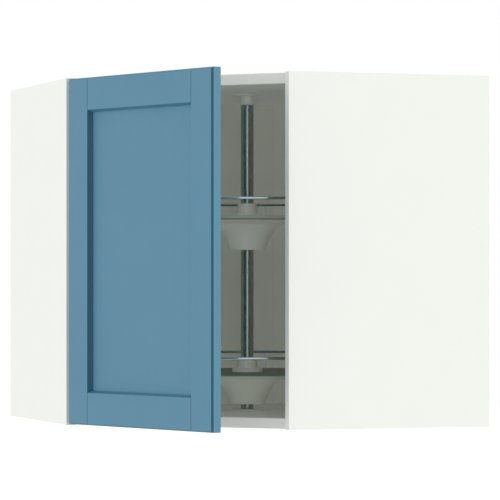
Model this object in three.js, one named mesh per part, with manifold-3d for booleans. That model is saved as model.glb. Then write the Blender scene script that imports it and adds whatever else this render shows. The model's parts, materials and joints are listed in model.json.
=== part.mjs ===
// Wall-hung diagonal corner cabinet with a framed door and a two-shelf carousel.
// Millimetres, +Z up. The origin is the corner of the two walls at the height of the cabinet's underside.
// The left wall is the plane x = 0, the right wall is the plane y = 0, and the cabinet fills x > 0, y < 0.
// The cabinet is symmetric about the vertical plane y = -x, apart from the door and its hinges.
import * as THREE from "three";
import { mergeVertices } from "three/addons/utils/BufferGeometryUtils.js";
import Module from "manifold-3d";

const wasm = await Module();
wasm.setup();

// ---- Driving dimensions -------------------------------------------------------------------------
const HEIGHT = 600; // carcass
const WALL_RUN = 665; // along each wall, from the wall corner
const SIDE_DEPTH = 366; // depth of a side panel
const BOARD = 18; // board thickness
const GAP = 0.3; // clearance between neighbouring solids

const FRONT_RECESS = 22.7; // front edges of top and bottom, behind the side panels' inner front corners
const CORNER_CUT = 169; // inner face of the corner board, measured along each wall
const BACK_THICKNESS = 4;
const BACK_OFFSET = 11; // gap from the wall to the back panels
const GROOVE_DEPTH = 6;
const HANGER_SLOT = { near: 3.5, far: 12, bottom: 520, top: 560 }; // in a back panel, from the side panel
const HANGER_HOUSING = { gap: 4, depth: 43, width: 16, margin: 12 }; // gap behind it, margin above and below
const HANGER_SCREWS = { setback: 40, side: 9, radius: 3.2, length: 10, heights: [530, 550] };
const HOOK = {
  wallSide: 2.2,
  lip: 5.4,
  front: 18.7,
  bottom: 526,
  step: 538,
  top: 552,
  thickness: 4,
  side: 10, // from the side panel
};

const DOOR = { width: 396, height: 596, thickness: 18, bottom: 2, chamfer: 3 };
const FRAME_FACE = 55.5; // flat front of the stiles and rails
const BEVEL = { width: 4, depth: 9.8 }; // inner edge of the door frame
const FRAME_INNER = FRAME_FACE + BEVEL.width;
const PANEL_THICKNESS = 5;
const PANEL_GROOVE = 7; // depth of the groove that holds the panel
const JOINT_GROOVE = 0.6; // depth of the V where a rail meets a stile

const HINGE_HEIGHTS = { lower: 100, upper: 500 };
const HINGE_PIVOT = [11, 10.3]; // from the door's hinge edge, and behind its front face
const CLOSED_OFFSET = [-4, 23.5]; // closed front corner: along the doorway, and out from it
const REST_OPENING = 25.1; // degrees from closed
const CUP = { centre: 22.5, bore: 17.6, outer: 17.3, inner: 16.3, floor: 5, inside: 5.8, lip: 19.9 };
const PIN_RADIUS = 1.5;
const PLATE_SCREW_SETBACK = 37; // from the side panel's front edge
const PLATE_SCREW_SPACING = 32;
const PLATE_SCREW_HOLE = 2.6; // radius

const POLE_OFFSET = 314; // pole axis from each wall
const POLE = { outer: 11.5, inner: 9.9, bottom: 21.4, top: 563.4 };
const GLASS_TOPS = { lower: 87, upper: 361 };
const GLASS = { radius: 243, hole: 19.2, thickness: 5 };
const RIM = { radius: 242.4, wire: 2.4, height: 30 }; // wire is its radius
const POST_ANGLES = [33.1, 153.1, 273.1];
const POST = { inner: 235, outer: 242.5, halfWidth: 4.7, corner: 2 };
const HUB_BORE = POLE.outer + 0.4;
const SLEEVE = { radius: 15.5, bottom: -26 }; // bearing sleeve of a hub
const BRIM = { radius: 150, thickness: 1.4 }; // carries the glass
const BELL_WALL = 3;
const BELL = [
  [66, -3.4],
  [61.5, -6.5],
  [54, -11],
  [47.5, -18],
  [42, -27],
  [37.5, -37],
  [34, -46.5],
  [32.5, -51.6],
]; // outer face of a hub's bell, radius and height from the glass downwards

// ---- Materials ----------------------------------------------------------------------------------
const finish = (color, roughness, metalness = 0) =>
  new THREE.MeshStandardMaterial({ color, roughness, metalness });
const whiteFoil = finish(0xf1f2ee, 0.5);
const backFoil = finish(0xe6e7e2, 0.6);
const blueLacquer = finish(0x6791a8, 0.42);
const nickel = finish(0xb9bab6, 0.3, 1);
const zinc = finish(0xa9aba8, 0.45, 1);
const chrome = finish(0xc8cacb, 0.12, 1);
const greyPlastic = finish(0xa9aca6, 0.5);
const whitePlastic = finish(0xe9eae6, 0.5);
const clearPlastic = finish(0xd8dcd8, 0.3);
const glass = new THREE.MeshStandardMaterial({
  color: 0x9fb3a6,
  roughness: 0.06,
  transparent: true,
  opacity: 0.35,
});

// ---- Shape helpers ------------------------------------------------------------------------------
// A closed geometry as a solid for booleans.
function solidOf(geometry) {
  const bare = new THREE.BufferGeometry();
  bare.setAttribute("position", geometry.getAttribute("position"));
  if (geometry.index) bare.setIndex(geometry.index);
  const merged = mergeVertices(bare, 1e-3);
  return new wasm.Manifold(
    new wasm.Mesh({
      numProp: 3,
      vertProperties: merged.getAttribute("position").array,
      triVerts: new Uint32Array(merged.index.array),
    }),
  );
}

function geometryOf(solid) {
  const mesh = solid.getMesh();
  const geometry = new THREE.BufferGeometry();
  geometry.setAttribute("position", new THREE.BufferAttribute(mesh.vertProperties, 3));
  geometry.setIndex(new THREE.BufferAttribute(mesh.triVerts, 1));
  geometry.computeVertexNormals();
  return geometry;
}

const cut = (geometry, ...tools) =>
  geometryOf(tools.reduce((solid, tool) => solid.subtract(solidOf(tool)), solidOf(geometry)));
const join = (geometry, ...others) =>
  geometryOf(others.reduce((solid, other) => solid.add(solidOf(other)), solidOf(geometry)));
const common = (geometry, other) => geometryOf(solidOf(geometry).intersect(solidOf(other)));

// A box between two corners.
function box([x0, y0, z0], [x1, y1, z1]) {
  const geometry = new THREE.BoxGeometry(Math.abs(x1 - x0), Math.abs(y1 - y0), Math.abs(z1 - z0));
  return geometry.translate((x0 + x1) / 2, (y0 + y1) / 2, (z0 + z1) / 2);
}

// A plan outline extruded upwards from z0 to z1.
function prism(outline, z0, z1) {
  const shape = new THREE.Shape(outline.map(([x, y]) => new THREE.Vector2(x, y)));
  const geometry = new THREE.ExtrudeGeometry(shape, { depth: z1 - z0, bevelEnabled: false });
  return geometry.translate(0, 0, z0);
}

// A closed profile of [radius, height] points, turned about the Z axis.
function turned(profile, sides) {
  const points = profile.map(([r, z]) => new THREE.Vector2(r, z));
  return new THREE.LatheGeometry(points, sides).rotateX(Math.PI / 2);
}

// A solid rod along Z.
const rod = (radius, z0, z1, sides = 16) =>
  turned([[0, z0], [radius, z0], [radius, z1], [0, z1]], sides);

// A closed slab through rectangles that are stacked along Y, each { x0, x1, z0, z1, y }.
function rectangleStack(levels) {
  const positions = [];
  for (const { x0, x1, z0, z1, y } of levels) {
    positions.push(x0, y, z0, x1, y, z0, x1, y, z1, x0, y, z1);
  }
  const index = [0, 1, 2, 0, 2, 3];
  for (let level = 0; level < levels.length - 1; level++) {
    for (let side = 0; side < 4; side++) {
      const a = 4 * level + side;
      const b = 4 * level + ((side + 1) % 4);
      index.push(a, a + 4, b, b, a + 4, b + 4);
    }
  }
  const last = 4 * (levels.length - 1);
  index.push(last, last + 2, last + 1, last, last + 3, last + 2);
  const geometry = new THREE.BufferGeometry();
  geometry.setAttribute("position", new THREE.Float32BufferAttribute(positions, 3));
  geometry.setIndex(index);
  return geometry;
}

// A band of even width along a route in plan, with rounded bends, as an outline.
function band(route, width, bend) {
  const points = route.map(([x, y]) => new THREE.Vector2(x, y));
  const last = points.length - 1;
  const towards = (from, to) => {
    const reach = Math.min(bend, from.distanceTo(to) / 2);
    return from.clone().add(to.clone().sub(from).setLength(reach));
  };
  const centre = [[points[0], points[1].clone().sub(points[0])]];
  for (let i = 1; i < last; i++) {
    const before = towards(points[i], points[i - 1]);
    const after = towards(points[i], points[i + 1]);
    const curve = new THREE.QuadraticBezierCurve(before, points[i], after);
    for (const t of [0, 0.33, 0.67, 1]) centre.push([curve.getPoint(t), curve.getTangent(t)]);
  }
  centre.push([points[last], points[last].clone().sub(points[last - 1])]);
  const sideOf = (sign) =>
    centre.map(([at, along]) => {
      const offset = along.clone().setLength((sign * width) / 2);
      return [at.x - offset.y, at.y + offset.x];
    });
  return [...sideOf(1), ...sideOf(-1).reverse()];
}

function addMesh(parent, name, geometry, material) {
  const mesh = new THREE.Mesh(geometry, material);
  mesh.name = name;
  parent.add(mesh);
  return mesh;
}

const cabinet = new THREE.Group();

// ---- Carcass ------------------------------------------------------------------------------------
const SIDE_INNER = WALL_RUN - BOARD; // inner face of a side panel, from the opposite wall
const INSIDE = { floor: BOARD, ceiling: HEIGHT - BOARD };
const BACK_INNER = BACK_OFFSET + BACK_THICKNESS;

// Room for the edge of the left back panel, over the given stretch of the wall and of height.
const grooveBox = (y0, y1, z0, z1) =>
  box([BACK_OFFSET - GAP, y0, z0], [BACK_INNER + GAP, y1, z1]);
// The same geometry on the other side of the cabinet's plane of symmetry.
const mirrored = (geometry) => {
  const copy = geometry.clone();
  copy.rotateZ(-Math.PI / 2).scale(-1, 1, 1);
  const order = [];
  const source = copy.index
    ? copy.index.array
    : Array.from({ length: copy.getAttribute("position").count }, (_, i) => i);
  for (let i = 0; i < source.length; i += 3) order.push(source[i], source[i + 2], source[i + 1]);
  copy.setIndex(order);
  return copy;
};

const CAM = { radius: 7.5, depth: 12.3, fromSide: 34, places: [60, 290] };
const camCentre = (x) => [x, -SIDE_INNER + CAM.fromSide];

// Top or bottom board: a hexagon between the side panels, cut back at the wall corner and at the door.
function horizontalBoard(z0, [grooveZ0, grooveZ1], camZ0) {
  const doorCut = WALL_RUN - BOARD + SIDE_DEPTH - FRONT_RECESS * Math.SQRT2;
  const sideFace = SIDE_INNER - GAP;
  const wallCut = CORNER_CUT - BOARD * Math.SQRT2;
  const outline = [
    [0, -sideFace],
    [doorCut - sideFace, -sideFace],
    [sideFace, sideFace - doorCut],
    [sideFace, 0],
    [wallCut, 0],
    [0, -wallCut],
  ];
  const groove = grooveBox(-SIDE_INNER - 1, -CORNER_CUT + BACK_INNER + GROOVE_DEPTH, grooveZ0, grooveZ1);
  const pockets = CAM.places.map((x) => {
    const [cx, cy] = camCentre(x);
    return rod(CAM.radius + GAP, camZ0, camZ0 + CAM.depth + 5, 20).translate(cx, cy, 0);
  });
  return cut(prism(outline, z0, z0 + BOARD), ...[groove, ...pockets].flatMap((g) => [g, mirrored(g)]));
}

addMesh(
  cabinet,
  "top_panel",
  horizontalBoard(
    INSIDE.ceiling,
    [INSIDE.ceiling - 1, INSIDE.ceiling + GROOVE_DEPTH],
    HEIGHT - CAM.depth - GAP,
  ),
  whiteFoil,
);
addMesh(
  cabinet,
  "bottom_panel",
  horizontalBoard(0, [BOARD - GROOVE_DEPTH, BOARD + 1], BOARD - CAM.depth - GAP),
  whiteFoil,
);

// Diagonal board across the wall corner, with a groove for each back panel.
function cornerBoard() {
  const outer = CORNER_CUT - BOARD * Math.SQRT2;
  const outline = [[0, -outer], [0, -CORNER_CUT], [CORNER_CUT, 0], [outer, 0]];
  const groove = grooveBox(-CORNER_CUT - 5, -CORNER_CUT + BACK_INNER + GROOVE_DEPTH, 0, HEIGHT);
  return cut(prism(outline, INSIDE.floor + GAP, INSIDE.ceiling - GAP), groove, mirrored(groove));
}
addMesh(cabinet, "corner_back_board", cornerBoard(), whiteFoil);

// Holes for the hinge plates' screws, in the left side panel.
const hingeScrewX = SIDE_DEPTH - PLATE_SCREW_SETBACK;
const hingeScrewHeights = (height) => [
  height - PLATE_SCREW_SPACING / 2,
  height + PLATE_SCREW_SPACING / 2,
];
function hingeScrewHoles() {
  const hole = rod(PLATE_SCREW_HOLE, -1, 13, 12).rotateX(Math.PI / 2).translate(hingeScrewX, -SIDE_INNER, 0);
  return Object.values(HINGE_HEIGHTS)
    .flatMap(hingeScrewHeights)
    .map((z) => hole.clone().translate(0, 0, z));
}

// One half of the carcass, drawn for the left wall.
function addHalf(parent, side, screwHoles) {
  const panel = box([0, -WALL_RUN, 0], [SIDE_DEPTH, -SIDE_INNER, HEIGHT]);
  const groove = grooveBox(-SIDE_INNER - GROOVE_DEPTH, -SIDE_INNER + 1, -1, HEIGHT + 1);
  addMesh(parent, `${side}_side_panel`, cut(panel, groove, ...screwHoles), whiteFoil);

  const lip = GROOVE_DEPTH - GAP;
  const back = box(
    [BACK_OFFSET, -SIDE_INNER - lip, INSIDE.floor - lip],
    [BACK_INNER, -CORNER_CUT + BACK_INNER + lip - 1, INSIDE.ceiling + lip],
  );
  const slot = box(
    [0, -SIDE_INNER + HANGER_SLOT.near, HANGER_SLOT.bottom],
    [30, -SIDE_INNER + HANGER_SLOT.far, HANGER_SLOT.top],
  );
  addMesh(parent, `${side}_back_panel`, cut(back, slot), backFoil);

  // Hanger: a plastic housing on the side panel and a steel hook that reaches through the back panel.
  const housingBack = BACK_INNER + HANGER_HOUSING.gap;
  const housing = box(
    [housingBack, -SIDE_INNER + GAP, HANGER_SLOT.bottom - HANGER_HOUSING.margin],
    [
      housingBack + HANGER_HOUSING.depth,
      -SIDE_INNER + HANGER_HOUSING.width,
      HANGER_SLOT.top + HANGER_HOUSING.margin,
    ],
  );
  const adjuster = rod(HANGER_SCREWS.radius, 0, HANGER_SCREWS.length, 12).rotateY(Math.PI / 2);
  const adjusterHoles = HANGER_SCREWS.heights.map((z) =>
    adjuster.clone().translate(BACK_INNER + HANGER_SCREWS.setback, -SIDE_INNER + HANGER_SCREWS.side, z),
  );
  addMesh(parent, `${side}_hanger_housing`, cut(housing, ...adjusterHoles), whitePlastic);
  const hookOutline = [
    [HOOK.front, HOOK.step],
    [HOOK.front, HOOK.top],
    [HOOK.wallSide, HOOK.top],
    [HOOK.wallSide, HOOK.bottom],
    [HOOK.lip, HOOK.bottom],
    [HOOK.lip, HOOK.step],
  ];
  const hook = prism(hookOutline, 0, HOOK.thickness).rotateX(Math.PI / 2);
  hook.translate(0, -SIDE_INNER + HOOK.side, 0);
  addMesh(parent, `${side}_hanger_hook`, hook, zinc);

  const driveSlot = box([-CAM.radius, -0.8, CAM.depth - 2], [CAM.radius, 0.8, CAM.depth + 1]);
  const cam = cut(rod(CAM.radius, 0, CAM.depth, 20), driveSlot);
  const levels = { top: HEIGHT - CAM.depth, bottom: BOARD - CAM.depth };
  for (const [level, z] of Object.entries(levels)) {
    CAM.places.forEach((x, i) => {
      const mesh = addMesh(parent, `${side}_${level}_cam_${i ? "front" : "rear"}`, cam, zinc);
      mesh.position.set(...camCentre(x), z);
    });
  }
}

const leftHalf = new THREE.Group();
const rightHalf = new THREE.Group();
rightHalf.scale.y = -1;
rightHalf.rotation.z = -Math.PI / 2;
cabinet.add(leftHalf, rightHalf);
addHalf(leftHalf, "left", hingeScrewHoles());
addHalf(rightHalf, "right", []);

// ---- Doorway and hinges -------------------------------------------------------------------------
// The doorway's own frame: origin at the hinge end of the closed door, x along the doorway, y inwards.
const closedDirection = Math.PI / 4;
const doorwayMiddle = (SIDE_INNER + SIDE_DEPTH) / 2;
const halfDoor = (DOOR.width / 2) * Math.SQRT1_2;
const doorwayOrigin = [doorwayMiddle - halfDoor, -doorwayMiddle - halfDoor];
function fromDoorway([along, outward]) {
  return [
    doorwayOrigin[0] + (along + outward) * Math.SQRT1_2,
    doorwayOrigin[1] + (along - outward) * Math.SQRT1_2,
  ];
}
const pivotInDoorway = [CLOSED_OFFSET[0] + HINGE_PIVOT[0], CLOSED_OFFSET[1] - HINGE_PIVOT[1]];
const pivot = fromDoorway(pivotInDoorway);

// Arm: a cranked steel band from the plate on the side panel, round the door's edge, into the cup.
const ARM = { width: 5.6, halfHeight: 4, eye: 3.3, offset: 14, front: 10, rear: 68 };
const armRoute = [
  pivot,
  ...[[16, 13.2], [19, 11.7], [22, 8.7], [22.5, 5.7], [22.5, -2.5]].map(fromDoorway),
  [SIDE_DEPTH - ARM.front, -SIDE_INNER + ARM.offset],
  [SIDE_DEPTH - ARM.rear, -SIDE_INNER + ARM.offset],
];
function hingeArm() {
  const bar = prism(band(armRoute, ARM.width, 4), -ARM.halfHeight, ARM.halfHeight);
  const eye = rod(ARM.eye, -ARM.halfHeight, ARM.halfHeight, 20).translate(...pivot, 0);
  const hole = rod(PIN_RADIUS + GAP, -10, 10, 20).translate(...pivot, 0);
  return cut(join(bar, eye), hole);
}

// Plate: a raised spine that carries the arm, and a wing with the two screws.
function hingePlate() {
  const foot = -SIDE_INNER + GAP;
  const spineTop = -SIDE_INNER + ARM.offset - ARM.width / 2 - GAP;
  const spine = box([SIDE_DEPTH - 74, foot, -6], [SIDE_DEPTH - 26, spineTop, 6]);
  const wing = box([hingeScrewX - 8, foot, -24], [hingeScrewX + 8, foot + 3.2, 24]);
  const holes = hingeScrewHeights(0).map((z) =>
    rod(PLATE_SCREW_HOLE, -20, 20, 12).rotateX(Math.PI / 2).translate(hingeScrewX, -SIDE_INNER, z),
  );
  return cut(join(spine, wing), ...holes);
}

const plateScrew = turned([[0, -12], [2.3, -12], [2.3, 3.8], [4.2, 3.8], [3.6, 6], [0, 6]], 16);

for (const [place, height] of Object.entries(HINGE_HEIGHTS)) {
  addMesh(cabinet, `${place}_hinge_plate`, hingePlate(), nickel).position.z = height;
  addMesh(cabinet, `${place}_hinge_arm`, hingeArm(), nickel).position.z = height;
  hingeScrewHeights(height).forEach((z, i) => {
    const screw = plateScrew.clone().rotateX(-Math.PI / 2);
    const name = `${place}_hinge_screw_${i ? "high" : "low"}`;
    addMesh(cabinet, name, screw, zinc).position.set(hingeScrewX, -SIDE_INNER, z);
  });
}

// ---- Door ---------------------------------------------------------------------------------------
// The door's own frame: x from the hinge edge, y from the front face inwards, z as in the cabinet.
const door = new THREE.Group();
door.rotation.z = closedDirection - THREE.MathUtils.degToRad(REST_OPENING);
const pivotFromCorner = new THREE.Vector3(...HINGE_PIVOT, 0).applyEuler(door.rotation);
door.position.set(pivot[0] - pivotFromCorner.x, pivot[1] - pivotFromCorner.y, 0);
cabinet.add(door);

const doorTop = DOOR.bottom + DOOR.height;
const inset = (by, y) => ({
  x0: by,
  x1: DOOR.width - by,
  z0: DOOR.bottom + by,
  z1: doorTop - by,
  y,
});

const doorBlank = rectangleStack([
  inset(DOOR.chamfer, 0),
  inset(0, DOOR.chamfer),
  inset(0, DOOR.thickness),
]);
// The window of the frame, wider at the front by the bevel.
const bevelSlope = BEVEL.width / BEVEL.depth;
const windowCutter = rectangleStack([
  inset(FRAME_FACE - bevelSlope, -1),
  inset(FRAME_INNER, BEVEL.depth),
  inset(FRAME_INNER, DOOR.thickness + 1),
]);
const panelGroove = rectangleStack([
  inset(FRAME_INNER - PANEL_GROOVE, BEVEL.depth),
  inset(FRAME_INNER - PANEL_GROOVE, BEVEL.depth + PANEL_THICKNESS + 2 * GAP),
]);

// V grooves on the front, where the rails meet the stiles.
function jointGrooves() {
  const size = JOINT_GROOVE * Math.SQRT2;
  return [FRAME_FACE, DOOR.width - FRAME_FACE].map((x) => {
    const bar = new THREE.BoxGeometry(size, size, DOOR.height + 10).rotateZ(Math.PI / 4);
    return bar.translate(x, 0, DOOR.bottom + DOOR.height / 2);
  });
}
const jointRange = (z0, z1) => jointGrooves().map((bar) => common(bar, box([-9, -9, z0], [999, 9, z1])));
const grooveTools = [
  ...jointRange(DOOR.bottom - 1, DOOR.bottom + FRAME_FACE),
  ...jointRange(doorTop - FRAME_FACE, doorTop + 1),
];

// A bar of the door frame: the blank inside the given limits, less the window, groove and extra tools.
function frameBar(x0, x1, z0, z1, ...extra) {
  const limits = box([x0, -1, z0], [x1, DOOR.thickness + 1, z1]);
  return cut(common(doorBlank, limits), windowCutter, panelGroove, ...grooveTools, ...extra);
}

const cupBore = rod(CUP.bore, CUP.floor - GAP, DOOR.thickness + 5, 32).rotateX(-Math.PI / 2);
const cupBores = Object.values(HINGE_HEIGHTS).map((height) =>
  cupBore.clone().translate(CUP.centre, 0, height),
);
// The rails fit between the stiles' flat faces, and the stiles carry their own bevel between the rails.
const seam = GAP / 2;
const railStart = FRAME_FACE + seam;
const railEnd = DOOR.width - FRAME_FACE - seam;
const stileBottom = DOOR.bottom - 1;
const stileTop = doorTop + 1;
const railRoom = [
  [stileBottom, DOOR.bottom + FRAME_INNER + GAP],
  [doorTop - FRAME_INNER - GAP, stileTop],
].map(([z0, z1]) => box([FRAME_FACE - seam, -2, z0], [DOOR.width - FRAME_FACE + seam, 99, z1]));
addMesh(
  door,
  "door_hinge_stile",
  frameBar(-1, FRAME_INNER + 1, stileBottom, stileTop, ...railRoom, ...cupBores),
  blueLacquer,
);
addMesh(
  door,
  "door_free_stile",
  frameBar(DOOR.width - FRAME_INNER - 1, DOOR.width + 1, stileBottom, stileTop, ...railRoom),
  blueLacquer,
);
addMesh(
  door,
  "door_bottom_rail",
  frameBar(railStart, railEnd, stileBottom, DOOR.bottom + FRAME_INNER),
  blueLacquer,
);
addMesh(
  door,
  "door_top_rail",
  frameBar(railStart, railEnd, doorTop - FRAME_INNER, stileTop),
  blueLacquer,
);
const panelEdge = FRAME_INNER - PANEL_GROOVE + GAP;
addMesh(
  door,
  "door_panel",
  rectangleStack([
    inset(panelEdge, BEVEL.depth + GAP),
    inset(panelEdge, BEVEL.depth + GAP + PANEL_THICKNESS),
  ]),
  blueLacquer,
);

// Hinge cup: a shallow pressed pot with two wings on the door's back, open where the arm swings out.
function hingeCup() {
  const pot = turned(
    [
      [0, CUP.floor],
      [CUP.outer, CUP.floor],
      [CUP.outer, CUP.lip],
      [CUP.inner, CUP.lip],
      [CUP.inner, CUP.inside],
      [0, CUP.inside],
    ],
    32,
  ).rotateX(-Math.PI / 2);
  const wings = box([-9, DOOR.thickness + GAP, -31], [9, CUP.lip, 31]);
  const hollow = rod(CUP.inner, CUP.inside + 1, 40, 32).rotateX(-Math.PI / 2);
  const armSide = box([-30, DOOR.thickness - 0.1, -40], [-10.5, 40, 40]);
  const pinHole = rod(PIN_RADIUS + GAP, -14, 14, 16);
  pinHole.translate(HINGE_PIVOT[0] - CUP.centre, HINGE_PIVOT[1], 0);
  return cut(join(pot, cut(wings, hollow)), armSide, pinHole);
}
const cupPin = rod(PIN_RADIUS, -11.4, 11.4, 12);
for (const [place, height] of Object.entries(HINGE_HEIGHTS)) {
  addMesh(door, `${place}_hinge_cup`, hingeCup(), nickel).position.set(CUP.centre, 0, height);
  addMesh(door, `${place}_hinge_pin`, cupPin, zinc).position.set(...HINGE_PIVOT, height);
}

// ---- Carousel -----------------------------------------------------------------------------------
const carousel = new THREE.Group();
carousel.position.set(POLE_OFFSET, -POLE_OFFSET, 0);
cabinet.add(carousel);

addMesh(
  carousel,
  "pole",
  turned(
    [
      [POLE.inner, POLE.bottom],
      [POLE.outer, POLE.bottom],
      [POLE.outer, POLE.top],
      [POLE.inner, POLE.top],
      [POLE.inner, POLE.bottom],
    ],
    32,
  ),
  chrome,
);

// Sockets that hold the pole: a flange on the board and a spigot inside the pole.
const spigot = POLE.inner - 0.4;
const ceiling = INSIDE.ceiling - GAP;
const floor = INSIDE.floor + GAP;
addMesh(
  carousel,
  "ceiling_socket",
  turned(
    [
      [0, POLE.top - 15],
      [spigot, POLE.top - 15],
      [spigot, POLE.top + GAP],
      [11.8, POLE.top + GAP],
      [11.8, ceiling - 3],
      [25, ceiling - 1.6],
      [25, ceiling],
      [0, ceiling],
    ],
    32,
  ),
  greyPlastic,
);
addMesh(
  carousel,
  "floor_socket",
  turned(
    [
      [0, floor],
      [27, floor],
      [27, floor + 1.8],
      [25, floor + 2.6],
      [spigot, floor + 2.6],
      [spigot, floor + 20],
      [0, floor + 20],
    ],
    32,
  ),
  greyPlastic,
);

// Rim: a wire ring above the glass.
function rimRing(z) {
  const section = [];
  for (let i = 0; i <= 8; i++) {
    const turn = (i / 8) * 2 * Math.PI;
    section.push([RIM.radius + RIM.wire * Math.cos(turn), z + RIM.wire * Math.sin(turn)]);
  }
  return turned(section, 64);
}

// Hub under the glass: a brim that carries the glass, a bell below it and a bearing sleeve on the pole.
const hubProfile = [
  [HUB_BORE, -GAP],
  [HUB_BORE, SLEEVE.bottom],
  [SLEEVE.radius, SLEEVE.bottom],
  [SLEEVE.radius, BELL[0][1]],
  ...BELL.map(([r, z]) => [r - BELL_WALL, z]),
  ...BELL.slice().reverse(),
  [BRIM.radius - 2, -GAP - BRIM.thickness],
  [BRIM.radius, -GAP - BRIM.thickness / 2],
  [BRIM.radius, -GAP],
  [HUB_BORE, -GAP],
];

const collarProfile = [
  [HUB_BORE, -GLASS.thickness],
  [18.6, -GLASS.thickness],
  [18.6, GAP],
  [27.3, GAP],
  [27.3, 5.3],
  [26.3, 6.3],
  [18.9, 6.9],
  [17, 26.2],
  [HUB_BORE, 26.2],
  [HUB_BORE, -GLASS.thickness],
];
const STOP_RING = { outer: 17, top: -28, bottom: -38, bore: POLE.outer + GAP };
const ringProfile = [
  [STOP_RING.bore, STOP_RING.bottom],
  [STOP_RING.outer, STOP_RING.bottom],
  [STOP_RING.outer, STOP_RING.top],
  [STOP_RING.bore, STOP_RING.top],
  [STOP_RING.bore, STOP_RING.bottom],
];
const glassProfile = [
  [GLASS.hole, -GLASS.thickness],
  [GLASS.radius - 1, -GLASS.thickness],
  [GLASS.radius, 1 - GLASS.thickness],
  [GLASS.radius, -1],
  [GLASS.radius - 1, 0],
  [GLASS.hole, 0],
  [GLASS.hole, -GLASS.thickness],
];

function addShelf(place, glassTop) {
  const shelf = new THREE.Group();
  shelf.position.z = glassTop;
  carousel.add(shelf);
  addMesh(shelf, `${place}_shelf_glass`, turned(glassProfile, 64), glass);
  addMesh(shelf, `${place}_shelf_rim`, rimRing(RIM.height), chrome);
  addMesh(shelf, `${place}_shelf_collar`, turned(collarProfile, 32), greyPlastic);
  addMesh(shelf, `${place}_shelf_hub`, turned(hubProfile, 36), greyPlastic).position.z = -GLASS.thickness;

  // Posts that hold the rim above the glass.
  const postTop = RIM.height - RIM.wire - GAP;
  const { inner, outer, halfWidth, corner } = POST;
  const postSide = [
    [inner, halfWidth - corner],
    [inner + corner, halfWidth],
    [outer - corner, halfWidth],
    [outer, halfWidth - corner],
  ];
  const postOutline = [...postSide, ...postSide.map(([x, y]) => [x, -y]).reverse()];
  POST_ANGLES.forEach((angle, i) => {
    const post = new THREE.Group();
    post.rotation.z = THREE.MathUtils.degToRad(angle);
    shelf.add(post);
    addMesh(post, `${place}_rim_post_${i + 1}`, prism(postOutline, GAP, postTop), clearPlastic);
  });

  // Stop ring under the bearing sleeve, clamped to the pole by a screw.
  const screwHole = rod(2.3, 10, 20, 12).rotateY(Math.PI / 2);
  const middle = (STOP_RING.top + STOP_RING.bottom) / 2;
  const ring = cut(turned(ringProfile, 32), screwHole.translate(0, 0, middle));
  addMesh(shelf, `${place}_stop_ring`, ring, zinc).position.z = -GLASS.thickness;
  const screw = rod(2, 0, 6.5, 10).rotateY(Math.PI / 2);
  const setScrew = addMesh(shelf, `${place}_stop_screw`, screw, zinc);
  setScrew.position.set(STOP_RING.bore + GAP, 0, middle - GLASS.thickness);
}
for (const [place, glassTop] of Object.entries(GLASS_TOPS)) addShelf(place, glassTop);

export default cabinet;
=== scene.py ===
"""Looks of a wall-hung diagonal corner cabinet with a framed door and a two-shelf carousel.

Metres, +Z up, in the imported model's frame: the origin is the corner of the two walls, at the height of the
cabinet's underside. The carousel's pole stands on the cabinet's diagonal, and the door rides on its hinges.
"""
import json
import math

import bmesh
import bpy
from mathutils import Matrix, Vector


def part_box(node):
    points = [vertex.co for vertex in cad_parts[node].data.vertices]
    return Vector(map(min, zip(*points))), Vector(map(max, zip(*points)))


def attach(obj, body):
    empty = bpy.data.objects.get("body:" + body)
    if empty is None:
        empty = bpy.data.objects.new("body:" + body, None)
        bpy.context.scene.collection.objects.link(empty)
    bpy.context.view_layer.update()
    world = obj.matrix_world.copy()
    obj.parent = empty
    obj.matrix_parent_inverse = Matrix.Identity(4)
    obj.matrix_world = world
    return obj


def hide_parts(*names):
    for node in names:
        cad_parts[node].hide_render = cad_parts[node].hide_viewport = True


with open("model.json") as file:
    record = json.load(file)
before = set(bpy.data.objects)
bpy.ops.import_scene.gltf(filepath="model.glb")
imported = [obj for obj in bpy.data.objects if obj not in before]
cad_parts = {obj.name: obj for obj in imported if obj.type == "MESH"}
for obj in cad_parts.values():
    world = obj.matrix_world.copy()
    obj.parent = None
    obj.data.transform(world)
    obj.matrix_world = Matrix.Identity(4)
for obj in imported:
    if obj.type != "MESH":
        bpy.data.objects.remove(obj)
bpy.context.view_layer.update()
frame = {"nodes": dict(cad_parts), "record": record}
NODES = frame["nodes"]
MM = 0.001
BODY_OF = {node: body for body, nodes in frame["record"]["behaviour"]["bodies"].items() for node in nodes}
SLOT_OF = {part["node"]: part["material_slot"] for part in frame["record"]["subparts"]}


def centre_of(node):
    low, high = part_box(node)
    return (low + high) / 2


# ---- Camera ---------------------------------------------------------------------------------------
# The photo is taken level and from far away, in front of the doorway's right half.
CAMERA_PLACE = Vector((5.309, -2.107, 0.2487))
CAMERA_DIRECTION = Vector((-0.94085, 0.33874, 0))
LENS_MM = 213.9
SENSOR_MM = 36
VERTICAL_SHIFT = 0.06256
FARTHEST_SEEN = 100


def add_camera():
    data = bpy.data.cameras.new("camera")
    data.sensor_width = SENSOR_MM
    data.lens = LENS_MM
    data.shift_y = VERTICAL_SHIFT
    data.clip_end = FARTHEST_SEEN
    camera = bpy.data.objects.new("camera", data)
    camera.location = CAMERA_PLACE
    camera.rotation_euler = CAMERA_DIRECTION.to_track_quat("-Z", "Y").to_euler()
    bpy.context.scene.collection.objects.link(camera)
    bpy.context.scene.camera = camera


add_camera()


# ---- Materials ------------------------------------------------------------------------------------
# Noise scales are in waves per metre.
CLOUD_SCALE = 9  # faint lighter and darker clouds in a coating
MOTTLE_SCALE = {"coating": 60, "metal": 40, "clear": 25}
GLASS_RIPPLE = {"scale": 8, "depth": 2e-6}
LINES_ALONG_Z = (1, 1, 0.04)  # stretches noise into drawn lines


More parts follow.
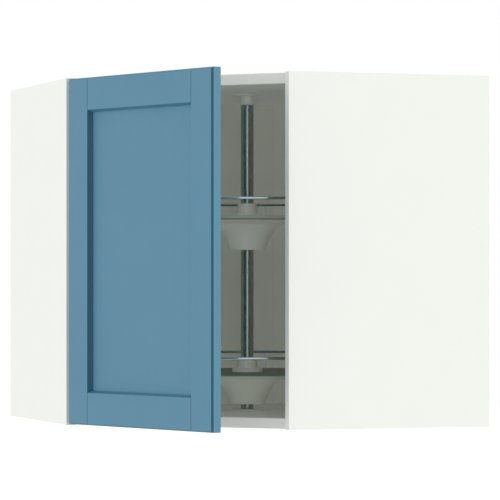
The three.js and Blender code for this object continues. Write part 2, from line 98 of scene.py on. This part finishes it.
def linear(color):
    """An 8-bit sRGB colour as linear values."""
    def channel(value):
        value /= 255
        return value / 12.92 if value <= 0.04045 else ((value + 0.055) / 1.055) ** 2.4
    return (*(channel(value) for value in color), 1)


def tinted(color, amount):
    """The colour, lightened or darkened by a share."""
    return (*(channel * (1 + amount) for channel in color[:3]), 1)


class Nodes:
    """A material's node tree, with short calls for the nodes used here."""

    def __init__(self, name):
        self.material = bpy.data.materials.new(name)
        self.material.use_nodes = True
        self.tree = self.material.node_tree
        self.shader = self.tree.nodes["Principled BSDF"]
        coordinates = self.tree.nodes.new("ShaderNodeTexCoord")
        self.place = coordinates.outputs["Object"]

    def link(self, source, target):
        self.tree.links.new(source, target)

    def stretched(self, scale):
        """Object coordinates, scaled per axis."""
        mapping = self.tree.nodes.new("ShaderNodeMapping")
        mapping.inputs["Scale"].default_value = scale
        self.link(self.place, mapping.inputs["Vector"])
        return mapping.outputs["Vector"]

    def noise(self, scale, detail=3, place=None):
        node = self.tree.nodes.new("ShaderNodeTexNoise")
        node.inputs["Scale"].default_value = scale
        node.inputs["Detail"].default_value = detail
        self.link(place or self.place, node.inputs["Vector"])
        return node.outputs["Fac"]

    def between(self, factor, low, high, start=0.3, end=0.7):
        """A value that goes from low to high as factor goes from start to end."""
        node = self.tree.nodes.new("ShaderNodeMapRange")
        node.inputs["From Min"].default_value = start
        node.inputs["From Max"].default_value = end
        node.inputs["To Min"].default_value = low
        node.inputs["To Max"].default_value = high
        self.link(factor, node.inputs["Value"])
        return node.outputs["Result"]

    def mixed(self, factor, first, second):
        """A colour between two colours."""
        node = self.tree.nodes.new("ShaderNodeMix")
        node.data_type = "RGBA"
        node.inputs["A"].default_value = first
        node.inputs["B"].default_value = second
        self.link(factor, node.inputs["Factor"])
        return node.outputs["Result"]

    def bump(self, height, distance):
        node = self.tree.nodes.new("ShaderNodeBump")
        node.inputs["Distance"].default_value = distance
        self.link(height, node.inputs["Height"])
        return node.outputs["Normal"]

    def set(self, name, value):
        socket = self.shader.inputs[name]
        if isinstance(value, bpy.types.NodeSocket):
            self.link(value, socket)
        else:
            socket.default_value = value


def coated(name, color, roughness, grain, depth, spread=0.02):
    """A smooth painted, moulded or foil-covered surface with a fine grain and faint clouds."""
    nodes = Nodes(name)
    base = linear(color)
    clouds = nodes.between(nodes.noise(CLOUD_SCALE, 4), 0, 1)
    nodes.set("Base Color", nodes.mixed(clouds, tinted(base, -spread), tinted(base, spread)))
    mottle = nodes.noise(MOTTLE_SCALE["coating"], 3)
    nodes.set("Roughness", nodes.between(mottle, roughness - 0.05, roughness + 0.05))
    nodes.set("Specular IOR Level", 0.35)
    nodes.set("Normal", nodes.bump(nodes.noise(grain, 2), depth))
    return nodes.material


def metal(name, color, roughness, line_scale, depth):
    """Bare or plated metal, with fine drawn lines along Z and a mottled tone."""
    nodes = Nodes(name)
    base = linear(color)
    lines = nodes.noise(line_scale, 2, nodes.stretched(LINES_ALONG_Z))
    mottle = nodes.noise(MOTTLE_SCALE["metal"], 3)
    nodes.set("Base Color", nodes.mixed(mottle, tinted(base, -0.04), tinted(base, 0.04)))
    nodes.set("Metallic", 1)
    nodes.set("Roughness", nodes.between(lines, roughness * 0.75, roughness * 1.25))
    nodes.set("Normal", nodes.bump(lines, depth))
    return nodes.material


def milky(name, color, roughness, ripple, depth):
    """Milky plastic that lets part of the light through, with a faint ripple."""
    nodes = Nodes(name)
    nodes.set("Base Color", linear(color))
    nodes.set("Transmission Weight", 0.45)
    nodes.set("IOR", 1.5)
    mottle = nodes.noise(MOTTLE_SCALE["clear"], 2)
    nodes.set("Roughness", nodes.between(mottle, roughness - 0.01, roughness + 0.01))
    nodes.set("Normal", nodes.bump(nodes.noise(ripple, 2), depth))
    return nodes.material


def thin_glass(name, color, straight, grazing):
    """Sheet glass, whose opacity goes from straight when looked through to grazing at a low angle."""
    nodes = Nodes(name)
    nodes.set("Base Color", linear(color))
    nodes.set("Roughness", nodes.between(nodes.noise(MOTTLE_SCALE["clear"], 2), 0.03, 0.06))
    nodes.set("Specular IOR Level", 0)
    weight = nodes.tree.nodes.new("ShaderNodeLayerWeight")
    weight.inputs["Blend"].default_value = 0.5
    nodes.set("Alpha", nodes.between(weight.outputs["Facing"], straight, grazing, 0.5, 1))
    nodes.set("Normal", nodes.bump(nodes.noise(GLASS_RIPPLE["scale"], 2), GLASS_RIPPLE["depth"]))
    return nodes.material


WHITE_FACE = coated("white_foil", (236, 238, 232), roughness=0.42, grain=1800, depth=4e-6, spread=0.006)
# The edges of the left side panel and of the top and bottom panels carry painted shade from the open door:
# they are coloured darker than the white foil, the upright edges darker than the level ones.
UPRIGHT_EDGE_PAINTED_SHADE = coated("white_upright_edge_painted_shade", (196, 200, 191), roughness=0.36, grain=900, depth=6e-6)
LEVEL_EDGE_PAINTED_SHADE = coated("white_level_edge_painted_shade", (212, 214, 207), roughness=0.36, grain=900, depth=6e-6)
BACK_FACE = coated("back_foil", (224, 225, 216), roughness=0.55, grain=1400, depth=8e-6)

# The lacquer's bevels carry painted shade: they are coloured darker than its flat faces, and each way has
# its own painted shade, the upright bevels darker than the level ones.
DOOR_FACE = coated("blue_lacquer", (82, 129, 153), roughness=0.42, grain=700, depth=7e-6, spread=0.012)
UPRIGHT_BEVEL_PAINTED_SHADE = coated("blue_lacquer_upright_bevel_painted_shade", (30, 78, 98), roughness=0.46, grain=700, depth=7e-6)
LEVEL_BEVEL_PAINTED_SHADE = coated("blue_lacquer_level_bevel_painted_shade", (60, 114, 140), roughness=0.46, grain=700, depth=7e-6)
# The door's edges carry painted light: they are coloured lighter than its flat faces.
DOOR_EDGE_PAINTED_LIGHT = coated("blue_lacquer_edge_painted_light", (90, 141, 165), roughness=0.42, grain=700, depth=7e-6, spread=0.012)

GREY_PLASTIC = coated("grey_plastic", (228, 231, 222), roughness=0.42, grain=2500, depth=6e-6)
WHITE_PLASTIC = coated("white_plastic", (233, 234, 230), roughness=0.45, grain=2500, depth=6e-6)
CHROME = metal("chrome_plate", (172, 184, 178), roughness=0.27, line_scale=900, depth=1e-6)
WIRE_CHROME = metal("wire_chrome", (165, 182, 188), roughness=0.1, line_scale=900, depth=1e-6)
NICKEL = metal("nickel_plate", (190, 190, 184), roughness=0.3, line_scale=700, depth=3e-6)
ZINC = metal("zinc_plate", (176, 178, 176), roughness=0.42, line_scale=500, depth=5e-6)
GLASS_FACE = thin_glass("glass_face", (138, 150, 136), straight=0.2, grazing=0.86)
GLASS_EDGE = thin_glass("glass_edge", (158, 166, 155), straight=0.9, grazing=0.95)
CLEAR_PLASTIC = milky("clear_plastic", (236, 240, 236), roughness=0.12, ripple=120, depth=1e-5)

SLOT_MATERIAL = {
    "carcass_white": WHITE_FACE,
    "back_white": BACK_FACE,
    "door_blue": DOOR_FACE,
    "grey_plastic": GREY_PLASTIC,
    "white_plastic": WHITE_PLASTIC,
    "chrome": CHROME,
    "nickel": NICKEL,
    "zinc": ZINC,
    "shelf_glass": GLASS_FACE,
    "clear_plastic": CLEAR_PLASTIC,
}


# ---- Making pieces --------------------------------------------------------------------------------
SHARP_ANGLE = math.radians(35)  # edges sharper than this are shaded as edges
ROUNDED_ANGLE = math.radians(20)  # edges sharper than this are rounded
FLAT_ANGLE = math.radians(0.5)  # faces that differ by less are one face
TOUCHING = 1e-6  # corners nearer than this are one
PARALLEL = 0.99  # cosine of the angle up to which a face counts as facing a direction


def add_piece(name, mesh, body, slot, materials=None):
    """Links a mesh as a piece that rides on a body."""
    piece = bpy.data.objects.new(name, mesh)
    bpy.context.scene.collection.objects.link(piece)
    for material in materials or [SLOT_MATERIAL[slot]]:
        mesh.materials.append(material)
    mesh.shade_smooth()
    mesh.set_sharp_from_angle(angle=SHARP_ANGLE)
    shading = piece.modifiers.new("flat_faces_shade_flat", "WEIGHTED_NORMAL")
    shading.keep_sharp = True
    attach(piece, body)
    return piece


def finish_piece(name, mesh, node, materials=None):
    """Links a mesh as a piece that takes the place, body and slot of a CAD node."""
    piece = add_piece(name, mesh, BODY_OF[node], SLOT_OF[node], materials)
    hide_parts(node)
    return piece


def placed(mesh, place, direction):
    """Turns a mesh that stands on the origin along +Z to a direction, and moves it to a place."""
    turn = direction.to_track_quat("Z", "Y").to_matrix().to_4x4()
    turn.translation = place
    mesh.transform(turn)
    return mesh


def cross_prism(name, reach, width, bottom, top):
    """A prism with a cross-shaped plan, to cut a driver's recess with."""
    w = width / 2
    plan = [
        (reach, -w), (reach, w), (w, w), (w, reach), (-w, reach), (-w, w),
        (-reach, w), (-reach, -w), (-w, -w), (-w, -reach), (w, -reach), (w, -w),
    ]
    work = bmesh.new()
    lower = [work.verts.new((x, y, bottom)) for x, y in plan]
    upper = [work.verts.new((x, y, top)) for x, y in plan]
    work.faces.new(lower[::-1])
    work.faces.new(upper)
    for i in range(len(plan)):
        j = (i + 1) % len(plan)
        work.faces.new([lower[i], lower[j], upper[j], upper[i]])
    mesh = bpy.data.meshes.new(name)
    work.to_mesh(mesh)
    work.free()
    return mesh


def cut(mesh, cutter):
    """The mesh less the cutter."""
    whole = bpy.data.objects.new("whole", mesh)
    tool = bpy.data.objects.new("tool", cutter)
    for temporary in (whole, tool):
        bpy.context.scene.collection.objects.link(temporary)
    boolean = whole.modifiers.new("cut", "BOOLEAN")
    boolean.operation = "DIFFERENCE"
    boolean.solver = "EXACT"
    boolean.object = tool
    graph = bpy.context.evaluated_depsgraph_get()
    result = bpy.data.meshes.new_from_object(whole.evaluated_get(graph), depsgraph=graph)
    for temporary in (whole, tool):
        bpy.data.objects.remove(temporary)
    return result


def soft_edged(node, radius, segments=2, materials=None, choose=None, cutters=()):
    """The node's own shape with its sharp edges rounded. choose gives a face's material number."""
    work = bmesh.new()
    work.from_mesh(NODES[node].data)
    bmesh.ops.remove_doubles(work, verts=work.verts, dist=TOUCHING)
    bmesh.ops.dissolve_limit(work, angle_limit=FLAT_ANGLE, verts=work.verts, edges=work.edges)
    if choose:
        for face in work.faces:
            face.material_index = choose(face)
    sharp = [e for e in work.edges if len(e.link_faces) == 2 and e.calc_face_angle() > ROUNDED_ANGLE]
    bmesh.ops.bevel(
        work, geom=sharp, offset=radius, offset_type="OFFSET", segments=segments, profile=0.5,
        affect="EDGES", clamp_overlap=True, harden_normals=False, material=-1,
    )
    bmesh.ops.remove_doubles(work, verts=work.verts, dist=TOUCHING)
    bmesh.ops.dissolve_degenerate(work, dist=TOUCHING, edges=work.edges)
    mesh = bpy.data.meshes.new(node + "_finished")
    work.to_mesh(mesh)
    work.free()
    for cutter in cutters:
        mesh = cut(mesh, cutter)
    return finish_piece(node + "_finished", mesh, node, materials)


ARC_STEPS = 4
LONGEST_REACH = 0.45  # of the shorter side beside a rounded corner


def rounded(profile):
    """The profile's points, with each point (r, z, radius) turned into an arc of that radius."""
    result = []
    count = len(profile)
    for i, point in enumerate(profile):
        if len(point) < 3:
            result.append(point)
            continue
        here = Vector(point[:2])
        back = Vector(profile[i - 1][:2]) - here
        ahead = Vector(profile[(i + 1) % count][:2]) - here
        angle = back.angle(ahead)
        longest = LONGEST_REACH * min(back.length, ahead.length)
        reach = min(point[2] / math.tan(angle / 2), longest)
        start = here + back.normalized() * reach
        end = here + ahead.normalized() * reach
        for step in range(ARC_STEPS + 1):
            t = step / ARC_STEPS
            result.append(tuple((1 - t) ** 2 * start + 2 * t * (1 - t) * here + t * t * end))
    return result


def turned_mesh(name, profile, centre, sides):
    """A closed profile of (radius, height) in millimetres, turned about a vertical axis at centre."""
    work = bmesh.new()
    angles = [2 * math.pi * i / sides for i in range(sides)]
    rings = []
    for radius, height in rounded(profile):
        r, z = radius * MM, height * MM
        if radius == 0:
            rings.append([work.verts.new(centre + Vector((0, 0, z)))])
        else:
            places = [centre + Vector((r * math.cos(a), r * math.sin(a), z)) for a in angles]
            rings.append([work.verts.new(place) for place in places])
    for ring, following in zip(rings, rings[1:] + rings[:1]):
        if len(ring) == 1 and len(following) == 1:
            continue
        for i in range(sides):
            j = (i + 1) % sides
            corners = [ring[i % len(ring)], ring[j % len(ring)]]
            corners += [following[j % len(following)], following[i % len(following)]]
            work.faces.new(list(dict.fromkeys(corners)))
    bmesh.ops.recalc_face_normals(work, faces=work.faces)
    mesh = bpy.data.meshes.new(name)
    work.to_mesh(mesh)
    work.free()
    return mesh


# Shares of a screw head's radius.
HEAD_HEIGHT = 0.45
HEAD_RECESS = {"reach": 0.6, "width": 0.26}
HEAD_SIDES = 32


def add_screw_head(name, place, direction, radius, body):
    """A pan head with a cross recess, whose underside lies at place. The radius is in millimetres."""
    height = HEAD_HEIGHT * radius
    profile = [
        (0, 0),
        (radius, 0),
        (radius, 0.35 * height, 0.3 * height),
        (0.75 * radius, 0.9 * height, height),
        (0, height),
    ]
    head = turned_mesh(name, profile, Vector((0, 0, 0)), HEAD_SIDES)
    reach, width = HEAD_RECESS["reach"] * radius * MM, HEAD_RECESS["width"] * radius * MM
    recess = cross_prism(name + "_recess", reach, width, 0.4 * height * MM, 3 * height * MM)
    add_piece(name, placed(cut(head, recess), place, direction), body, "zinc")


# ---- Carcass --------------------------------------------------------------------------------------
BOARD_ROUNDING = 0.7 * MM
THIN_BOARD_ROUNDING = 0.3 * MM
SMALLEST_BOARD_FACE = 0.02  # square metres, more than any edge has
HANGER_SCREW_DEPTH = 6.4 * MM  # in holes 7 mm deep with a rounded bottom
HANGER_SCREW_PLACE = {"from_side": 8.7 * MM, "half_spacing": 10 * MM}
HANGER_SCREW_RADIUS = 2.8


def board_face_or_shaded_edge(face):
    """0 for a board's two faces, 1 for its banded edges, which get painted shade."""
    return 0 if face.calc_area() > SMALLEST_BOARD_FACE else 1


def add_hanger_screws(side):
    """Two adjusting screws, sunk in the holes of a hanger's housing."""
    low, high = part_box(f"{side}_hanger_housing")
    if side == "left":
        inwards = Vector((1, 0, 0))
        front = Vector((high.x, low.y + HANGER_SCREW_PLACE["from_side"], 0))
    else:
        inwards = Vector((0, -1, 0))
        front = Vector((high.x - HANGER_SCREW_PLACE["from_side"], low.y, 0))
    middle = (low.z + high.z) / 2
    for name, step in (("lower", -1), ("upper", 1)):
        place = front - inwards * HANGER_SCREW_DEPTH
        place.z = middle + step * HANGER_SCREW_PLACE["half_spacing"]
        add_screw_head(f"{side}_hanger_{name}_screw", place, inwards, HANGER_SCREW_RADIUS, "carcass")


def add_carcass():
    soft_edged("right_side_panel", BOARD_ROUNDING)
    soft_edged("corner_back_board", BOARD_ROUNDING, materials=[BACK_FACE])
    soft_edged("left_side_panel", BOARD_ROUNDING, materials=[WHITE_FACE, UPRIGHT_EDGE_PAINTED_SHADE], choose=board_face_or_shaded_edge)
    for node in ("top_panel", "bottom_panel"):
        soft_edged(node, BOARD_ROUNDING, materials=[WHITE_FACE, LEVEL_EDGE_PAINTED_SHADE], choose=board_face_or_shaded_edge)
    for side in ("left", "right"):
        soft_edged(f"{side}_back_panel", THIN_BOARD_ROUNDING, 1)
        soft_edged(f"{side}_hanger_housing", 1.2 * MM, 3)
        add_hanger_screws(side)
        soft_edged(f"{side}_hanger_hook", 0.4 * MM)
        for level in ("top", "bottom"):
            for place in ("rear", "front"):
                soft_edged(f"{side}_{level}_cam_{place}", 0.3 * MM)


# ---- Door -----------------------------------------------------------------------------------------
DOOR_ROUNDING = 0.35 * MM
LEVEL_BEVEL_TILT = 0.3  # the least upward share in a level bevel's normal


def door_axes():
    """The door's own directions, from its stiles: along the door, out of its front, and up."""
    hinge, free = centre_of("door_hinge_stile"), centre_of("door_free_stile")
    along = (free - hinge).normalized()
    return along, along.cross(Vector((0, 0, 1))), Vector((0, 0, 1))


def add_door():
    along, outwards, up = door_axes()

    def lacquer_shade_of(face):
        """0 for flat fronts and backs, 1 for upright bevels and chamfers, 2 for level ones, 3 for edges; 1
        and 2 get painted shade, 3 gets painted light.
        """
        if abs(face.normal.dot(outwards)) > PARALLEL:
            return 0
        if max(abs(face.normal.dot(along)), abs(face.normal.dot(up))) > PARALLEL:
            return 3
        return 2 if abs(face.normal.dot(up)) > LEVEL_BEVEL_TILT else 1

    lacquer_and_painted_light = [DOOR_FACE, UPRIGHT_BEVEL_PAINTED_SHADE, LEVEL_BEVEL_PAINTED_SHADE, DOOR_EDGE_PAINTED_LIGHT]
    for part in ("hinge_stile", "free_stile", "top_rail", "bottom_rail"):
        soft_edged(f"door_{part}", DOOR_ROUNDING, materials=lacquer_and_painted_light, choose=lacquer_shade_of)
    soft_edged("door_panel", THIN_BOARD_ROUNDING, 1)


# ---- Hinges ---------------------------------------------------------------------------------------
CUP_CENTRE_FROM_PIN = 11.5 * MM
CUP_LIP_FROM_PIN = 9.61 * MM
CUP_SCREW = {"height": 25 * MM, "radius": 3.4}
ARM_FACE = 16.8 * MM  # from the side panel's inner face
ARM_SCREW_SETBACKS = {"front": 28 * MM, "rear": 60 * MM}  # from the side panel's front edge
ARM_SCREW_RADIUS = 3.2
PLATE_SCREW_RECESS = {"reach": 2.4 * MM, "width": 0.9 * MM, "bottom": -2 * MM, "top": 2 * MM}


def add_hinge_screws(place):
    """Screws in the cup's wings, adjusting screws on the arm, and recesses in the plate's screws."""
    along, outwards, up = door_axes()
    off_the_side = Vector((0, 1, 0))
    pin = centre_of(f"{place}_hinge_pin")
    wing = pin + along * CUP_CENTRE_FROM_PIN - outwards * CUP_LIP_FROM_PIN
    for name, step in (("low", -1), ("high", 1)):
        spot = wing + up * (step * CUP_SCREW["height"])
        add_screw_head(f"{place}_cup_screw_{name}", spot, -outwards, CUP_SCREW["radius"], "door")
    panel_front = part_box("left_side_panel")[1]
    for name, setback in ARM_SCREW_SETBACKS.items():
        spot = Vector((panel_front.x - setback, panel_front.y + ARM_FACE, pin.z))
        add_screw_head(f"{place}_arm_screw_{name}", spot, off_the_side, ARM_SCREW_RADIUS, "carcass")
    for height in ("low", "high"):
        node = f"{place}_hinge_screw_{height}"
        low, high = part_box(node)
        top = Vector(((low.x + high.x) / 2, high.y, (low.z + high.z) / 2))
        recess = cross_prism(node + "_recess", **PLATE_SCREW_RECESS)
        soft_edged(node, 0.3 * MM, cutters=[placed(recess, top, off_the_side)])


def add_hinges():
    for place in ("lower", "upper"):
        soft_edged(f"{place}_hinge_plate", 0.6 * MM)
        soft_edged(f"{place}_hinge_arm", 0.7 * MM)
        soft_edged(f"{place}_hinge_cup", 0.25 * MM)
        soft_edged(f"{place}_hinge_pin", 0.3 * MM)
        add_hinge_screws(place)


# ---- Carousel -------------------------------------------------------------------------------------
# Outlines of turned pieces are (radius, height) or (radius, height, rounding) in millimetres.
GAP = 0.3
POLE_RADIUS = 11.5
POLE_BORE = 9.9
PEG_RADIUS = 9.5  # of both sockets, inside the pole
SLIDING_BORE = 11.9  # of the collars and hubs, round the pole
GLASS_RADIUS = 243
GLASS_HOLE = 19.2
GLASS_THICKNESS = 5
STEEPEST_GLASS_FACE = 0.9  # the least upward share in the normal of what counts as the glass's face
RIM_RADIUS = 242.4
RIM_HEIGHT = 30
WIRE_RADIUS = 2.4
FLANGE_RADIUS = 27.3
SPIGOT_RADIUS = 18.6  # of the collar, in the glass's hole
COLLAR_TOP = 26.2
SLEEVE_RADIUS = 15.5
SLEEVE_BOTTOM = -26
BRIM_RADIUS = 150
BRIM_THICKNESS = 3.4
BELL_WALL = 3
BELL = [(66, -3.4), (61.5, -6.5), (54, -11), (47.5, -18), (42, -27), (37.5, -37), (34, -46.5), (32.5, -51.6)]
SIDES = {"pole": 96, "hub": 128, "shelf": 256, "wire": 24}


def turned(node, profile, height, sides=SIDES["pole"], materials=None):
    """A turned piece on the pole's axis in place of a node, from the given height upwards."""
    axis = centre_of("pole")
    mesh = turned_mesh(node + "_finished", profile, Vector((axis.x, axis.y, height)), sides)
    return finish_piece(node + "_finished", mesh, node, materials)


def base_and_length(node):
    """The height of a node's underside in metres, and its length upwards in millimetres."""
    low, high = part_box(node)
    return low.z, (high.z - low.z) / MM


def add_pole():
    base, length = base_and_length("pole")
    pole = [(POLE_BORE, 0, 0.3), (POLE_RADIUS, 0, 0.5), (POLE_RADIUS, length, 0.5), (POLE_BORE, length, 0.3)]
    turned("pole", pole, base)
    base, top = base_and_length("ceiling_socket")
    ceiling_socket = [
        (0, 0), (PEG_RADIUS, 0, 0.8), (PEG_RADIUS, 15.3), (11.8, 15.3, 0.4), (11.8, top - 3, 1),
        (25, top - 1.6, 0.8), (25, top, 0.3), (0, top),
    ]
    turned("ceiling_socket", ceiling_socket, base)
    base, top = base_and_length("floor_socket")
    floor_socket = [
        (0, 0), (27, 0, 0.3), (27, 1.8, 0.8), (25, 2.6, 1.2), (PEG_RADIUS, 2.6, 0.4), (PEG_RADIUS, top, 0.8),
        (0, top),
    ]
    turned("floor_socket", floor_socket, base)


def add_glass(place, top):
    bottom = -GLASS_THICKNESS
    profile = [
        (GLASS_HOLE, bottom, 0.6), (GLASS_RADIUS, bottom, 1), (GLASS_RADIUS, 0, 1), (GLASS_HOLE, 0, 0.6),
    ]
    glass = turned(f"{place}_shelf_glass", profile, top, SIDES["shelf"], [GLASS_FACE, GLASS_EDGE])
    for face in glass.data.polygons:
        face.material_index = 0 if abs(face.normal.z) > STEEPEST_GLASS_FACE else 1


def add_rim(place, top):
    angles = [2 * math.pi * i / SIDES["wire"] for i in range(SIDES["wire"])]
    section = [
        (RIM_RADIUS + WIRE_RADIUS * math.cos(a), RIM_HEIGHT + WIRE_RADIUS * math.sin(a)) for a in angles
    ]
    turned(f"{place}_shelf_rim", section, top, SIDES["shelf"], [WIRE_CHROME])


def add_collar(place, glass_top):
    """A spigot in the glass's hole, a flange on the glass, and a neck round the pole."""
    bottom = -GLASS_THICKNESS
    profile = [
        (SLIDING_BORE, bottom, 0.3), (SPIGOT_RADIUS, bottom, 0.5), (SPIGOT_RADIUS, GAP),
        (FLANGE_RADIUS, GAP, 0.3), (FLANGE_RADIUS, 5.5, 1.2), (25.8, 6.3, 1),
        (18.9, 6.9, 1.5), (17, COLLAR_TOP, 1.2), (SLIDING_BORE, COLLAR_TOP, 0.5),
    ]
    turned(f"{place}_shelf_collar", profile, glass_top)


def add_hub(place, glass_bottom):
    """A sleeve round the pole, a bell round the sleeve, and a brim that carries the glass."""
    sleeve = [
        (SLIDING_BORE, -GAP), (SLIDING_BORE, SLEEVE_BOTTOM, 0.5), (SLEEVE_RADIUS, SLEEVE_BOTTOM, 0.8),
        (SLEEVE_RADIUS, -BRIM_THICKNESS, 1),
    ]
    inside = [(radius - BELL_WALL, height) for radius, height in BELL]
    mouth = [(*inside[-1], 0.6), (*BELL[-1], 0.6)]
    brim = [(BRIM_RADIUS - 2, -1.7), (BRIM_RADIUS, -1, 0.3), (BRIM_RADIUS, -GAP, 0.3)]
    profile = sleeve + inside[:-1] + mouth + BELL[-2::-1] + brim
    turned(f"{place}_shelf_hub", profile, glass_bottom, SIDES["hub"])


def add_shelf(place):
    bottom, top = (corner.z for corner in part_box(f"{place}_shelf_glass"))
    add_glass(place, top)
    add_rim(place, top)
    add_collar(place, top)
    add_hub(place, bottom)
    for number in (1, 2, 3):
        soft_edged(f"{place}_rim_post_{number}", 0.5 * MM)
    soft_edged(f"{place}_stop_ring", 0.5 * MM)
    soft_edged(f"{place}_stop_screw", 0.3 * MM)


# ---- Studio ---------------------------------------------------------------------------------------
WORLD_LIGHT = 0.87
WHITE = (1, 1, 1, 1)
FLOOR_LIFT = 0.2
FLOOR_HEIGHT = -1.4
FLOOR_SIZE = 60


def white_to_camera(tree, lit, target):
    """Shows plain white to the camera and in gloss and glass, and the lit shader to everything else."""
    path = tree.nodes.new("ShaderNodeLightPath")
    seen = path.outputs["Is Camera Ray"]
    for name in ("Is Glossy Ray", "Is Transmission Ray"):
        either = tree.nodes.new("ShaderNodeMath")
        either.operation = "MAXIMUM"
        tree.links.new(seen, either.inputs[0])
        tree.links.new(path.outputs[name], either.inputs[1])
        seen = either.outputs[0]
    shown = tree.nodes.new("ShaderNodeBackground")
    shown.inputs["Color"].default_value = WHITE
    shown.inputs["Strength"].default_value = 1
    mix = tree.nodes.new("ShaderNodeMixShader")
    tree.links.new(seen, mix.inputs["Fac"])
    tree.links.new(lit, mix.inputs[1])
    tree.links.new(shown.outputs[0], mix.inputs[2])
    tree.links.new(mix.outputs[0], target)


def add_world():
    world = bpy.data.worlds.new("studio")
    bpy.context.scene.world = world
    world.use_nodes = True
    tree = world.node_tree
    background = tree.nodes["Background"]
    background.inputs["Color"].default_value = WHITE
    background.inputs["Strength"].default_value = WORLD_LIGHT
    white_to_camera(tree, background.outputs[0], tree.nodes["World Output"].inputs["Surface"])


def brighten_for_camera(material):
    """Lifts the lit floor to white for the camera, and leaves the object's shadow on it."""
    tree = material.node_tree
    lift = tree.nodes.new("ShaderNodeEmission")
    path = tree.nodes.new("ShaderNodeLightPath")
    amount = tree.nodes.new("ShaderNodeMath")
    amount.operation = "MULTIPLY"
    amount.inputs[1].default_value = FLOOR_LIFT
    tree.links.new(path.outputs["Is Camera Ray"], amount.inputs[0])
    tree.links.new(amount.outputs[0], lift.inputs["Strength"])
    both = tree.nodes.new("ShaderNodeAddShader")
    tree.links.new(tree.nodes["Principled BSDF"].outputs[0], both.inputs[0])
    tree.links.new(lift.outputs[0], both.inputs[1])
    tree.links.new(both.outputs[0], tree.nodes["Material Output"].inputs["Surface"])


def add_floor():
    work = bmesh.new()
    half = FLOOR_SIZE / 2
    corners = [(-half, -half), (half, -half), (half, half), (-half, half)]
    work.faces.new([work.verts.new((x, y, FLOOR_HEIGHT)) for x, y in corners])
    mesh = bpy.data.meshes.new("floor")
    work.to_mesh(mesh)
    work.free()
    floor = bpy.data.objects.new("floor", mesh)
    bpy.context.scene.collection.objects.link(floor)
    material = coated("pale_floor", (250, 250, 250), roughness=0.7, grain=40, depth=1e-5, spread=0)
    brighten_for_camera(material)
    mesh.materials.append(material)


def add_sun(name, azimuth, elevation, strength, angle, shadow=True):
    """A lamp that shines from a compass direction, counted from +X towards +Y, and a height."""
    data = bpy.data.lights.new(name, "SUN")
    data.energy = strength
    data.angle = math.radians(angle)
    data.use_shadow = shadow
    lamp = bpy.data.objects.new(name, data)
    lamp.visible_glossy = False
    a, e = math.radians(azimuth), math.radians(elevation)
    source = Vector((math.cos(a) * math.cos(e), math.sin(a) * math.cos(e), math.sin(e)))
    lamp.rotation_euler = source.to_track_quat("Z", "Y").to_euler()
    bpy.context.scene.collection.objects.link(lamp)


def add_lamps():
    add_sun("left_lamp", azimuth=-54, elevation=15, strength=0.45, angle=30)
    add_sun("low_fill_lamp", azimuth=-24, elevation=-50, strength=0.35, angle=10, shadow=False)
    add_sun("high_fill_lamp", azimuth=-24, elevation=50, strength=0.18, angle=10, shadow=False)


add_carcass()
add_door()
add_hinges()
add_pole()
for shelf in ("lower", "upper"):
    add_shelf(shelf)
add_world()
add_floor()
add_lamps()
bpy.context.scene.view_settings.view_transform = "Standard"
